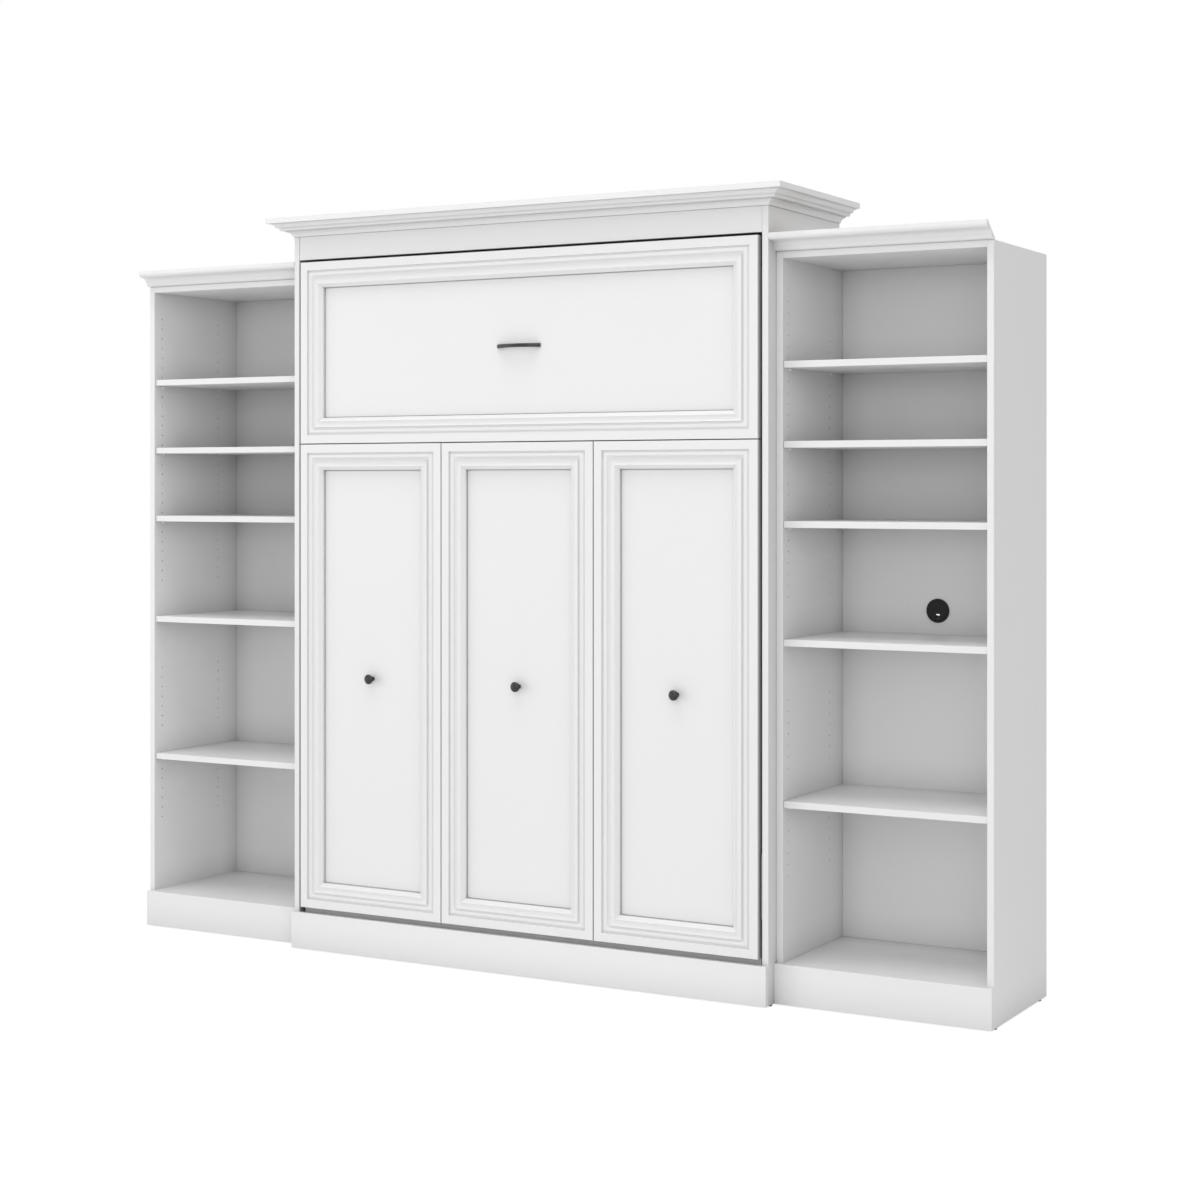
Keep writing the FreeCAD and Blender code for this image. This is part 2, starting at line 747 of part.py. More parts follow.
# Bed fronts
def strip(label, length):
    """A moulding strip along X, mitred at both ends, its outer edge at zero and its back at zero."""
    body = new_body(label)
    section = new_sketch(body, "YZ_Plane", label + "_section")
    corners = [("0", "0")]
    for across_share, up_share in zip(STRIP_ACROSS_SHARES, STRIP_UP_SHARES):
        width = "strip_width * %g" % across_share if across_share else "0"
        corners.append((width, "strip_depth * %g" % up_share))
    corners.append(("strip_width", "0"))
    outline(section, corners, bends_of("strip_width", STRIP_BEND_SHARES))
    pad(body, section, length)
    mitres = new_sketch(body, "XY_Plane", label + "_mitres")
    outline(mitres, [("0", "0"), ("strip_width", "strip_width"), ("0", "strip_width")])
    outline(mitres, [(length, "0"), (length, "strip_width"), (length + " - strip_width", "strip_width")])
    pocket(body, mitres, "strip_depth + overrun", True)
    return body


def front(label, x, z, wide, tall):
    """A flat panel with a frame of four strips on it and a shadow groove inside the frame."""
    sheet_panel = panel(label + "_panel", x, PANEL_FRONT, z, wide, "front_panel", tall)
    groove = new_sketch(sheet_panel, "XZ_Plane", label + "_shadow_groove")
    for inset in ("strip_width", "(strip_width + groove_wide)"):
        right = "%s - %s" % (wide, inset)
        top = "%s - %s" % (tall, inset)
        outline(groove, [(inset, inset), (right, inset), (right, top), (inset, top)])
    pocket(sheet_panel, groove, "groove_deep", False)
    nodes.append(sheet_panel)
    strips = []
    for edge, length, spin, u, v in (("bottom", wide, 0, x, z),
                                     ("right", tall, -QUARTER, x + " + " + wide, z),
                                     ("top", wide, HALF_TURN, x + " + " + wide, z + " + " + tall),
                                     ("left", tall, QUARTER, x, z + " + " + tall)):
        piece = strip("%s_%s_strip" % (label, edge), length)
        turned(piece, (X_AXIS, QUARTER), (Y_AXIS, spin))
        place(piece, u, PANEL_FRONT, v)
        strips.append(piece)
    nodes.append(group(label + "_frame", strips))


def bed_fronts():
    """One wide top front and three doors, with the pull and the knobs."""
    front("top_front", "-" + FACE_HALF, "%s - top_front_height" % FACE_TOP, "(2 * %s)" % FACE_HALF,
          "top_front_height")
    knobs = []
    for index, name in enumerate(("left", "centre", "right")):
        x = "(-%s + %d * (%s + front_gap))" % (FACE_HALF, index, DOOR_WIDE)
        front("door_" + name, x, FACE_LOW, DOOR_WIDE, "(%s - %s)" % (DOOR_TOP, FACE_LOW))
        knobs.append(knob("knob_" + name, "%s + %s / 2" % (x, DOOR_WIDE), "(%s + %s) / 2" % (DOOR_TOP, FACE_LOW)))
    nodes.append(group("door_knobs", knobs))
    nodes.append(bow_pull())


def knob(label, x, z):
    """A round knob with a domed head."""
    body = new_body(label)
    section = new_sketch(body, "XZ_Plane", label + "_section")
    corners = [("0", "0"), ("knob_base", "0"), ("knob_base", "knob_foot"), ("knob_stem", "knob_neck / 2"),
               ("knob_stem", "knob_neck"), ("knob_head", "knob_head_low"),
               ("knob_head", "knob_head_low + knob_rim"), ("0", "knob_tall")]
    dome = "(knob_tall - knob_head_low - knob_rim)"
    outline(section, corners, {6: ("(knob_head ^ 2 + %s ^ 2) / (2 * %s)" % (dome, dome), 1)})
    spin = body.newObject("PartDesign::Revolution", label + "_spin")
    spin.Profile = section
    spin.ReferenceAxis = (section, ["V_Axis"])
    spin.Angle = 2 * HALF_TURN
    turned(body, (X_AXIS, QUARTER))
    place(body, x, PANEL_FRONT, z)
    return body


def bow_pull():
    """The arched pull in the middle of the top front."""
    body = new_body("bow_pull")
    plan = new_sketch(body, "XY_Plane", "bow_pull_plan")
    corners = [("0", "0"), ("pull_foot", "0"), ("pull_long - pull_foot", "0"), ("pull_long", "0")]
    outer = "((pull_long / 2) ^ 2 + pull_rise ^ 2) / (2 * pull_rise)"
    inner = "((pull_long / 2 - pull_foot) ^ 2 + pull_gap ^ 2) / (2 * pull_gap)"
    outline(plan, corners, {1: (inner, -1), 3: (outer, 1)})
    arch = pad(body, plan, "pull_tall")
    soften(body, arch, "pull_round")
    turned(body, (Z_AXIS, HALF_TURN))
    place(body, "pull_long / 2", PANEL_FRONT, "%s - top_front_height / 2 - pull_tall / 2" % FACE_TOP)
    return body


# Bed frame and mattress
def tube(label, x, y, z, wide, deep, long, way):
    """A rectangular steel tube along X or Z with open ends."""
    outer = block(label + "_outside", x, y, z, wide, deep, long)
    thin = "(%s - 2 * rail_wall)"
    if way == "Z":
        inner = block(label + "_inside", x + " + rail_wall", y + " + rail_wall", z + " - overrun",
                      thin % wide, thin % deep, long + " + 2 * overrun")
    else:
        inner = block(label + "_inside", x + " - overrun", y + " + rail_wall", z + " + rail_wall",
                      wide + " + 2 * overrun", thin % deep, thin % long)
    return minus(label, outer, inner)


def bed_frame():
    """The head beam, steel rails, slats and mattress that swing with the fronts."""
    beam_low = "(lift + head_beam_low)"
    nodes.append(panel("head_beam", "-" + FACE_HALF, FACE_BACK, beam_low,
                       "2 * " + FACE_HALF, "rail_deep", "head_beam_height"))
    rail_low = "(%s + head_beam_height)" % beam_low
    rail_long = "(%s - rail_top_drop - %s)" % (FACE_TOP, rail_low)
    rails = []
    for side, sign in SIDES:
        x = across(sign, "rail_out - rail_width", "rail_out")
        rails.append(tube("side_rail_" + side, x, FACE_BACK, rail_low, "rail_width", "rail_deep", rail_long, "Z"))
    nodes.append(group("side_rails", rails))
    ties = []
    for index, share in enumerate(CROSS_RAIL_SHARES, 1):
        z = "(%s + (%s - rail_width) * %g)" % (rail_low, rail_long, share)
        ties.append(tube("cross_rail_%d" % index, "-rail_out + rail_width", FACE_BACK, z,
                         "(2 * rail_out - 2 * rail_width)", "rail_deep", "rail_width", "X"))
    nodes.append(group("cross_rails", ties))
    slats = []
    for index in range(SLATS):
        z = "lift + slat_first + (slat_last - slat_first) * %d / %d" % (index, SLATS - 1)
        slats.append(panel("slat_%d" % (index + 1), "-slat_half", SLAT_FRONT, z,
                           "2 * slat_half", "slat_thick", "slat_width"))
    nodes.append(group("slats", slats))
    nodes.append(panel("mattress", "-mattress_width / 2", SLAT_FRONT + " + slat_thick + mattress_rest",
                       "lift + mattress_low", "mattress_width", "mattress_thick", "mattress_long",
                       "mattress_round"))


# Bed pivots
def bed_pivots():
    """Plates with pins on the cabinet, and arms with bushes on the bed frame."""
    plates = []
    arms = []
    bushes = []
    plate_in = "(%s - pivot_plate)" % INNER_HALF
    hole = "(pivot_radius + running + bush_wall)"
    flange_in = "(rail_out + arm_plate)"
    for side, sign in SIDES:
        plate = block("pivot_back_plate_" + side, across(sign, plate_in, INNER_HALF),
                      PIVOT_Y + " - pivot_plate_wide / 2", PIVOT_Z + " - pivot_plate_height / 2",
                      "pivot_plate", "pivot_plate_wide", "pivot_plate_height")
        pin_in = "(rail_out + clear_gap)"
        pin_long = "(%s - %s)" % (INNER_HALF, pin_in)
        pin = bar("pivot_pin_" + side, "X", across(sign, pin_in, INNER_HALF), PIVOT_Y, PIVOT_Z,
                  "pivot_radius", pin_long)
        plates.append(joined("pivot_plate_" + side, [plate, pin]))
        arm = block("arm_blank_" + side, across(sign, "rail_out", flange_in), FACE_BACK + " + arm_gap",
                    "lift + arm_low", "arm_plate", "-bed_depth + arm_back - arm_gap - " + FACE_BACK,
                    "arm_high - arm_low")
        bore = bar("arm_bore_" + side, "X", across(sign, "rail_out", flange_in) + " - overrun", PIVOT_Y, PIVOT_Z,
                   hole, "arm_plate + 2 * overrun")
        arms.append(minus("arm_plate_" + side, arm, bore))
        sleeve = bar("bush_sleeve_" + side, "X", across(sign, "rail_out", flange_in), PIVOT_Y, PIVOT_Z,
                     hole, "arm_plate")
        lip = bar("bush_flange_" + side, "X", across(sign, flange_in, flange_in + " + bush_flange"),
                  PIVOT_Y, PIVOT_Z, hole + " + bush_lip", "bush_flange")
        way = bar("bush_bore_" + side, "X", across(sign, "rail_out", flange_in + " + bush_flange") + " - overrun",
                  PIVOT_Y, PIVOT_Z, "pivot_radius + running", "arm_plate + bush_flange + 2 * overrun")
        bushes.append(minus("bush_" + side, joined("bush_blank_" + side, [sleeve, lip]), way))
    nodes.append(group("pivot_plates", plates))
    nodes.append(group("arm_plates", arms))
    nodes.append(group("pivot_bushes", bushes))


# Fold-out leg
def fold_out_leg():
    """Two arms and a cross bar; folded, the bar lies behind the mattress."""
    pivot_y = "(-bed_depth + leg_back)"
    pivot_z = "(%s - leg_drop)" % FACE_TOP
    drop = "(%s + leg_back - pivot_back - leg_bar_radius)" % PIVOT_Z
    reach = "sqrt(%s ^ 2 + leg_splay ^ 2)" % drop
    mattress_back = "(%s + slat_thick + mattress_rest + mattress_thick)" % SLAT_FRONT
    behind = "(%s + leg_bar_gap + leg_bar_radius - %s)" % (mattress_back, pivot_y)
    down = "sqrt(%s ^ 2 - %s ^ 2)" % (reach, behind)
    brackets = []
    arms = []
    for side, sign in SIDES:
        plate_out = "(rail_out + leg_bracket_thick)"
        plate = block("leg_bracket_plate_" + side, across(sign, "rail_out", plate_out), FACE_BACK,
                      "%s + leg_bracket_end - leg_bracket_tall" % pivot_z, "leg_bracket_thick",
                      "%s + leg_bracket_end - %s" % (pivot_y, FACE_BACK), "leg_bracket_tall")
        stud_end = "(leg_arm_out + leg_arm_thick + clear_gap)"
        stud = bar("leg_stud_" + side, "X", across(sign, "rail_out", stud_end), pivot_y, pivot_z,
                   "leg_stud_radius", stud_end + " - rail_out")
        head = bar("leg_stud_head_" + side, "X", across(sign, stud_end, stud_end + " + leg_head_thick"),
                   pivot_y, pivot_z, "leg_head_radius", "leg_head_thick")
        collar = bar("leg_stud_collar_" + side, "X", across(sign, plate_out, "leg_arm_out - clear_gap"),
                     pivot_y, pivot_z, "leg_head_radius", "leg_arm_out - clear_gap - " + plate_out)
        brackets.append(joined("leg_bracket_" + side, [plate, stud, head, collar]))
        arms.append(leg_arm(side, sign, pivot_y, pivot_z, reach, behind))
    nodes.append(group("leg_brackets", brackets))
    nodes.append(group("leg_arms", arms))
    bar_item = bar("leg_cross_bar", "X", "-leg_arm_out", "%s + %s" % (pivot_y, behind),
                   "%s - %s" % (pivot_z, down), "leg_bar_radius", "2 * leg_arm_out")
    nodes.append(bar_item)


def leg_arm(side, sign, pivot_y, pivot_z, reach, behind):
    """A flat arm with round ends and a bore for its stud."""
    name = "leg_arm_" + side
    half = "leg_arm_wide / 2"
    flat = block(name + "_flat", "0", "0", "-" + half, "leg_arm_thick", reach, "leg_arm_wide")
    near = bar(name + "_near_end", "X", "0", "0", "0", half, "leg_arm_thick")
    far = bar(name + "_far_end", "X", "0", reach, "0", half, "leg_arm_thick")
    bore = bar(name + "_bore", "X", "-overrun", "0", "0", "leg_stud_radius + running",
               "leg_arm_thick + 2 * overrun")
    item = minus(name, joined(name + "_solid", [flat, near, far]), bore)
    x = across(sign, "leg_arm_out", "leg_arm_out + leg_arm_thick")
    lean_over(item, x, pivot_y, pivot_z, "acos(%s / %s)" % (behind, reach))
    return item


# Gas struts
def gas_struts():
    """A cylinder that hangs on a stud on each cabinet side, and a rod that pushes on the bed's arm."""
    back = "(strut_back - pivot_back - lever_back)"
    rise = "(strut_high - pivot_high + lever_down)"
    long = "sqrt(%s ^ 2 + %s ^ 2)" % (back, rise)
    lean = "atan(%s / %s)" % (back, rise)
    top_y = "(-bed_depth + strut_back)"
    top_z = "(lift + strut_high)"
    studs = []
    for side, sign in SIDES:
        plate_in = "(%s - strut_plate)" % INNER_HALF
        stud_in = "(strut_out - strut_eye_thick / 2)"
        plate = block("strut_back_plate_" + side, across(sign, plate_in, INNER_HALF),
                      top_y + " - strut_plate_wide / 2", top_z + " - strut_plate_tall / 2",
                      "strut_plate", "strut_plate_wide", "strut_plate_tall")
        stud = bar("strut_stud_pin_" + side, "X", across(sign, stud_in, INNER_HALF), top_y, top_z,
                   "strut_stud_radius", "%s - %s" % (INNER_HALF, stud_in))
        studs.append(joined("strut_stud_" + side, [plate, stud]))
        middle = across(sign, "strut_out", "strut_out")
        nodes.append(strut_cylinder(side, middle, top_y, top_z, lean))
        nodes.append(strut_rod(side, sign, middle, long, top_y, top_z, lean))
    nodes.append(group("strut_studs", studs))


def lean_over(item, x, y, z, lean):
    """Hang a piece from its stud and turn it about X, its top or far end towards the back or down."""
    item.Placement.Rotation = FreeCAD.Rotation(-X_AXIS, QUARTER / 2)
    bind(item, "Placement.Rotation.Angle", lean)
    place(item, x, y, z)


def strut_cylinder(side, x, y, z, lean):
    """The eye and the bored tube below it."""
    name = "strut_cylinder_" + side
    eye = bar(name + "_eye", "X", "-strut_eye_thick / 2", "0", "0", "strut_eye_radius", "strut_eye_thick")
    case = bar(name + "_case", "Z", "0", "0", "-strut_tube_long", "strut_tube_radius", "strut_tube_long")
    hang = bar(name + "_stud_bore", "X", "-strut_eye_thick", "0", "0", "strut_stud_radius + running",
               "2 * strut_eye_thick")
    bore = bar(name + "_bore", "Z", "0", "0", "-strut_tube_long - overrun", "strut_rod_radius + clear_gap",
               "strut_tube_long + overrun - 2 * strut_eye_radius")
    flat = block(name + "_flat", "-strut_tube_radius", "-strut_tube_radius", "-strut_eye_radius",
                 "strut_tube_radius - strut_eye_thick / 2", "2 * strut_tube_radius", "2 * strut_eye_radius")
    flat_too = block(name + "_flat_too", "strut_eye_thick / 2", "-strut_tube_radius", "-strut_eye_radius",
                     "strut_tube_radius - strut_eye_thick / 2", "2 * strut_tube_radius", "2 * strut_eye_radius")
    solid = joined(name + "_solid", [eye, case])
    holes = joined(name + "_holes", [hang, bore, flat, flat_too])
    item = minus(name, solid, holes)
    lean_over(item, x, y, z, lean)
    return item


def strut_rod(side, sign, x, long, y, z, lean):
    """The rod, its eye, and the pin that stops just short of the bed's arm."""
    name = "strut_rod_" + side
    stem = bar(name + "_stem", "Z", "0", "0", "-" + long, "strut_rod_radius", "strut_rod_long")
    eye = bar(name + "_eye", "X", "-strut_eye_thick / 2", "0", "-" + long, "strut_eye_radius", "strut_eye_thick")
    pin_long = "(strut_out - rail_out - arm_plate - clear_gap)"
    pin = bar(name + "_pin", "X", across(-sign, "0", pin_long), "0", "-" + long, "strut_stud_radius", pin_long)
    item = joined(name, [stem, eye, pin])
    lean_over(item, x, y, z, lean)
    return item


bed_cabinet()
crowns()
crown_blocks()
bookcases()
floor_glides()
bed_fronts()
bed_frame()
bed_pivots()
fold_out_leg()
gas_struts()

# Check everything, then write one file for each node
doc.recompute()
for item in doc.Objects:
    if "Invalid" in item.State or "Error" in item.State:
        raise ValueError("%s did not compute: %s" % (item.Label, item.State))
os.makedirs("parts", exist_ok=True)
for node in nodes:
    if node.Shape.isNull() or not node.Shape.isValid():
        raise ValueError("bad shape in " + node.Label)
    node.Shape.exportStep("parts/%s.step" % node.Label)
print(len(nodes), "nodes written")
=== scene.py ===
import json
import math

import bpy
import numpy as np
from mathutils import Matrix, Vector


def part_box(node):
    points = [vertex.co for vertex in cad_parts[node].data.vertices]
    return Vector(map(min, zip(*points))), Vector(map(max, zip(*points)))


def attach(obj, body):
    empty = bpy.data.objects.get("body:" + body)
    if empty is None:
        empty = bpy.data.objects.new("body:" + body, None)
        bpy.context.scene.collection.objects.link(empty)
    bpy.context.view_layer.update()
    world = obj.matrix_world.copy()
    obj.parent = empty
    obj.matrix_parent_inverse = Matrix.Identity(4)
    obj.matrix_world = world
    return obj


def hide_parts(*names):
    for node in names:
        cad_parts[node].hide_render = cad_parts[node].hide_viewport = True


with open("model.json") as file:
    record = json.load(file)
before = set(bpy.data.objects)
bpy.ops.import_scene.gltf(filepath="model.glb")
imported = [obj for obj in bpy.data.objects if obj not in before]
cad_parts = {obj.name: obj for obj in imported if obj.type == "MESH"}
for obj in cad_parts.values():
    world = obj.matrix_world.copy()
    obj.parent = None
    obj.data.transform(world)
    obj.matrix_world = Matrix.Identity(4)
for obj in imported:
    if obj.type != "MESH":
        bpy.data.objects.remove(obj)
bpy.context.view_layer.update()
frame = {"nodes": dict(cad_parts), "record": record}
nodes = frame["nodes"]

# Camera, worked out from the straight edges in the photograph
CAMERA_PLACE = (3.41794, -6.07704, 1.45227)
CAMERA_TURN = math.radians(29.35)
CAMERA_LENS = 66.214
CAMERA_SHIFT_UP = -0.0955
SENSOR = 36.0

# Colours, linear
WHITE_LAMINATE = (0.84, 0.84, 0.84, 1)
BLACK_COAT = (0.014, 0.014, 0.015, 1)
BLACK_MOULDED = (0.011, 0.011, 0.012, 1)
GREY_POWDER = (0.16, 0.165, 0.175, 1)
BRIGHT_PLATE = (0.78, 0.79, 0.8, 1)
PIN_WHITE = (0.8, 0.8, 0.79, 1)
TIMBER_PALE = (0.66, 0.47, 0.29, 1)
TIMBER_DARK = (0.47, 0.3, 0.16, 1)
IVORY = (0.74, 0.71, 0.62, 1)
TICKING_PALE = (0.74, 0.73, 0.7, 1)
TICKING_SHADE = (0.6, 0.59, 0.56, 1)
TAPE_GREY = (0.42, 0.42, 0.41, 1)
BRISTLE_BLACK = (0.012, 0.012, 0.012, 1)
STUDIO_WHITE = (1, 1, 1, 1)
FLOOR_MATT = (0.9, 0.9, 0.9, 1)
FLOOR_LIT = (0.27, 0.27, 0.27, 1)

# Pebbled bump: its strength, how much slower its swell is than its bumps, and how high the swell stands
PEBBLE_BUMP = 0.35
PEBBLE_SLOWER = 9.0
PEBBLE_SWELL = 0.3

# Painted shade in the laminate's corners and pits: how far round a point other surface is felt, and the
# shares of tone that the painted shade takes away
PAINTED_SHADE_REACH = 0.09
PAINTED_SHADE_SAMPLES = 8
PAINTED_PIT_SHADE_POWER = 5.0
PAINTED_PIT_SHADE = 0.4
LAMINATE_PAINTED_SHADE = 0.28
CROWN_PAINTED_SHADE = 0.55

# Timber: how close its grain and pores lie on each axis. Cloth: its threads and slubs to the metre
GRAIN_STRETCH = (2.0, 60.0, 60.0)
GRAIN_SCALE = 1.6
PORE_STRETCH = (40.0, 900.0, 900.0)
THREAD_TURNS = 2.0 * math.pi * 650.0
SLUBS = 160.0
SLUB_HEIGHT = 2.0

# Mattress: how far it starts inside its solid, its edge rounding, and the swell that the pressure may add
MATTRESS_EASE = 0.012
MATTRESS_ROUND = 0.036
MATTRESS_CELL = 0.03
MATTRESS_SWELL = 0.0105
MATTRESS_FRAMES = 20
MATTRESS_CLOTH = {
    "quality": 5,
    "mass": 0.3,
    "tension_stiffness": 12.0,
    "compression_stiffness": 12.0,
    "bending_stiffness": 1.5,
    "use_pressure": True,
    "uniform_pressure_force": 4.0,
}
TUFT_CELLS_ACROSS = 8
TUFT_CELLS_ALONG = 4
TAPE_RADIUS = 0.0055
TAPE_SIDES = 10
ROUND_SHARES = (0.0, 0.3, 0.65)
TINY = 1e-9

# Screw and bolt heads: sizes in metres, then shares of the head's height and of its socket
SCREW_RADIUS = 0.0045
SCREW_TALL = 0.0018
SCREW_SOCKET = 0.0022
BOLT_RADIUS = 0.007
BOLT_TALL = 0.0026
BOLT_SOCKET = 0.0034
HEAD_SIDES = 36
DOME_STEPS = 6
DOME_END_SHARE = 1.2
SOCKET_LIP_SHARE = 1.15
SOCKET_RING_SHARES = (1.1, 1.0, 0.92, 0.0)
LIP_DROP_SHARE = 0.94
SOCKET_FLOOR_SHARE = 0.2

# Where the screws and bolts stand on their plates
PIVOT_PLATE = 0.004
PIVOT_SCREW_ASIDE = 0.026
PIVOT_SCREW_RISES = (0.078, -0.078, 0.045)
STRUT_PLATE = 0.003
STRUT_SCREW_ASIDE = 0.012
STRUT_SCREW_RISES = (0.027, -0.027)
BRACKET_PLATE = 0.005
BRACKET_BOLT_RISES = (0.02, 0.056)
ARM_BOLT_IN = 0.022

# Plugs in the side rails
RAIL_WIDE = 0.03
PLUG_TALL = 0.004
PLUG_ROUND = 0.0012
PLUG_CELL = 0.006

# Bristles behind the cable caps
GROMMET_BORE = 0.0238
BRISTLES = 96
BRISTLE_RINGS = 7
BRISTLE_SHARE = 0.42
BRISTLE_OVERLAP = 1.35
BRISTLE_BACK = 0.0022
BRISTLE_STAGGER = 0.0009
BRISTLE_BOW = 0.0012

# Light; each lamp has a name, a place, a width in metres and a power in watts
SKY_STRENGTH = 0.56
FLOOR_GLOW = 0.86
FLOOR_WIDE = 60.0
LAMP_AIM = (0.0, -0.4, 1.1)
LAMPS = (
    ("right_lamp", (3.0, -6.0, 4.0), 4.0, 65.0),
    ("low_right_lamp", (3.0, -6.0, 1.2), 3.0, 28.0),
    ("left_lamp", (-6.0, -5.0, 2.0), 4.0, 87.0),
    ("top_lamp", (0.0, -2.0, 6.5), 3.0, 110.0),
)


# Shader helpers
def add(tree, kind, **settings):
    """A new node; settings are its own properties."""
    node = tree.nodes.new(kind)
    for name, value in settings.items():
        setattr(node, name, value)
    return node


def give(tree, value, socket):
    """Link a socket to another's output, or set its own value."""
    if isinstance(value, bpy.types.NodeSocket):
        tree.links.new(value, socket)
    else:
        socket.default_value = value


def feed(tree, node, **inputs):
    """Link or set a node's inputs by name, with _ for a space."""
    for name, value in inputs.items():
        give(tree, value, node.inputs[name.replace("_", " ")])
    return node


def feed_in_turn(tree, node, *values):
    """Link or set a node's inputs in their order."""
    for value, socket in zip(values, node.inputs):
        give(tree, value, socket)
    return node


def worked(tree, operation, *values, **settings):
    """The result of one sum on values in their order."""
    node = add(tree, "ShaderNodeMath", operation=operation, **settings)
    return feed_in_turn(tree, node, *values).outputs[0]


def scaled_colour(tree, colour, share):
    """A colour times a number."""
    node = add(tree, "ShaderNodeVectorMath", operation="SCALE")
    return feed(tree, node, Vector=colour, Scale=share).outputs[0]


def mix_colour(tree, factor, first, second):
    """The colour between two."""
    node = add(tree, "ShaderNodeMix", data_type="RGBA")
    for value, socket in ((factor, node.inputs[0]), (first, node.inputs[6]), (second, node.inputs[7])):
        give(tree, value, socket)
    return node.outputs[2]


def ranged(tree, value, low, high, to_low, to_high):
    """A value moved from one range to another."""
    node = add(tree, "ShaderNodeMapRange")
    feed(tree, node, Value=value, From_Min=low, From_Max=high, To_Min=to_low, To_Max=to_high)
    return node.outputs["Result"]


def noise(tree, place, scale, detail):
    """Noise from 0 to 1 at a number of bumps per metre."""
    node = add(tree, "ShaderNodeTexNoise")
    return feed(tree, node, Vector=place, Scale=scale, Detail=detail).outputs["Fac"]


def stretched(tree, place, scale):
    """A place scaled on each axis."""
    return feed(tree, add(tree, "ShaderNodeMapping"), Vector=place, Scale=scale).outputs["Vector"]


# Shared groups
def new_group(name, inputs, outputs):
    """An empty shader group with its named sockets: the group, what it is given and its end node."""
    group = bpy.data.node_groups.new(name, "ShaderNodeTree")
    for way, sockets in (("INPUT", inputs), ("OUTPUT", outputs)):
        for label, kind in sockets.items():
            group.interface.new_socket(label, in_out=way, socket_type="NodeSocket" + kind)
    return group, add(group, "NodeGroupInput").outputs, add(group, "NodeGroupOutput")


def mottle_group():
    """A colour that drifts slowly lighter and darker over a surface, and a roughness that drifts with it."""
    sockets = {"Place": "Vector", "Colour": "Color", "Spread": "Float", "Scale": "Float",
               "Roughness": "Float", "Roughness Spread": "Float"}
    group, given, end = new_group("slow_mottle", sockets, {"Colour": "Color", "Roughness": "Float"})
    drift = noise(group, given["Place"], given["Scale"], detail=3.0)
    centred = worked(group, "SUBTRACT", drift, 0.5)
    share = worked(group, "MULTIPLY_ADD", centred, given["Spread"], 1.0)
    rough = worked(group, "MULTIPLY_ADD", centred, given["Roughness Spread"], given["Roughness"])
    feed(group, end, Colour=scaled_colour(group, given["Colour"], share), Roughness=rough)
    return group


def pebble_group():
    """Fine pebbles for a bump: small bumps over a slower swell."""
    sockets = {"Place": "Vector", "Scale": "Float", "Swell": "Float"}
    group, given, end = new_group("fine_pebble", sockets, {"Height": "Float"})
    small = noise(group, given["Place"], given["Scale"], detail=1.0)
    slower = worked(group, "DIVIDE", given["Scale"], PEBBLE_SLOWER)
    wide = noise(group, given["Place"], slower, detail=1.0)
    feed(group, end, Height=worked(group, "MULTIPLY_ADD", wide, given["Swell"], small))
    return group


def painted_shade_group():
    """Painted shade: a colour that darkens where other surface closes a point in, as shade falls there: it
    loses Corner times the closed share of its surroundings, and Pit times a high power of that share."""
    sockets = {"Colour": "Color", "Reach": "Float", "Corner": "Float", "Pit": "Float"}
    group, given, end = new_group("painted_crevice_shade", sockets, {"Colour": "Color"})
    round_about = add(group, "ShaderNodeAmbientOcclusion", samples=PAINTED_SHADE_SAMPLES)
    open_share = feed(group, round_about, Distance=given["Reach"]).outputs["AO"]
    closed = worked(group, "SUBTRACT", 1.0, open_share)
    pit = worked(group, "MULTIPLY", worked(group, "POWER", closed, PAINTED_PIT_SHADE_POWER), given["Pit"])
    lost = worked(group, "MULTIPLY_ADD", closed, given["Corner"], pit)
    kept = worked(group, "SUBTRACT", 1.0, lost, use_clamp=True)
    feed(group, end, Colour=scaled_colour(group, given["Colour"], kept))
    return group


MOTTLE = mottle_group()
PEBBLE = pebble_group()
PAINTED_SHADE_GROUP = painted_shade_group()


# Materials
def new_material(name):
    """A material with a plain Principled shader, its tree and the object's own coordinates."""
    material = bpy.data.materials.new(name)
    material.use_nodes = True
    tree = material.node_tree
    shader = tree.nodes["Principled BSDF"]
    place = add(tree, "ShaderNodeTexCoord").outputs["Object"]
    return material, tree, shader, place


def use_group(tree, group, **inputs):
    """Place a shared group in a material."""
    return feed(tree, add(tree, "ShaderNodeGroup", node_tree=group), **inputs).outputs


def bump(tree, shader, height, strength, distance):
    """Bump a shader by a height."""
    node = add(tree, "ShaderNodeBump")
    feed(tree, node, Height=height, Strength=strength, Distance=distance)
    feed(tree, shader, Normal=node.outputs["Normal"])


def coated(name, colour, roughness, spread, pebble, depth, drift, rough_spread=0.06, painted_corner_shade=0.0,
           **plain):
    """A coated or moulded surface: mottled colour, drifting gloss and a pebbled bump. Painted shade darkens
    its corners and pits where a painted corner shade is given, and plain sets other sockets."""
    material, tree, shader, place = new_material(name)
    mottle = use_group(tree, MOTTLE, Place=place, Colour=colour, Spread=spread, Scale=drift,
                       Roughness=roughness, Roughness_Spread=rough_spread)
    tone = mottle["Colour"]
    if painted_corner_shade:
        painted_shade_tone = use_group(tree, PAINTED_SHADE_GROUP, Colour=tone, Reach=PAINTED_SHADE_REACH, Corner=painted_corner_shade, Pit=PAINTED_PIT_SHADE)
        tone = painted_shade_tone["Colour"]
    grain = use_group(tree, PEBBLE, Place=place, Scale=pebble, Swell=PEBBLE_SWELL)
    feed(tree, shader, Base_Color=tone, Roughness=mottle["Roughness"], **plain)
    bump(tree, shader, grain["Height"], PEBBLE_BUMP, depth)
    return material


def white_board(name, painted_corner_shade):
    """Satin white laminate, with painted shade that darkens its corners and pits."""
    return coated(name, WHITE_LAMINATE, 0.42, spread=0.015, pebble=1500.0, depth=0.00004, drift=3.0,
                  painted_corner_shade=painted_corner_shade)


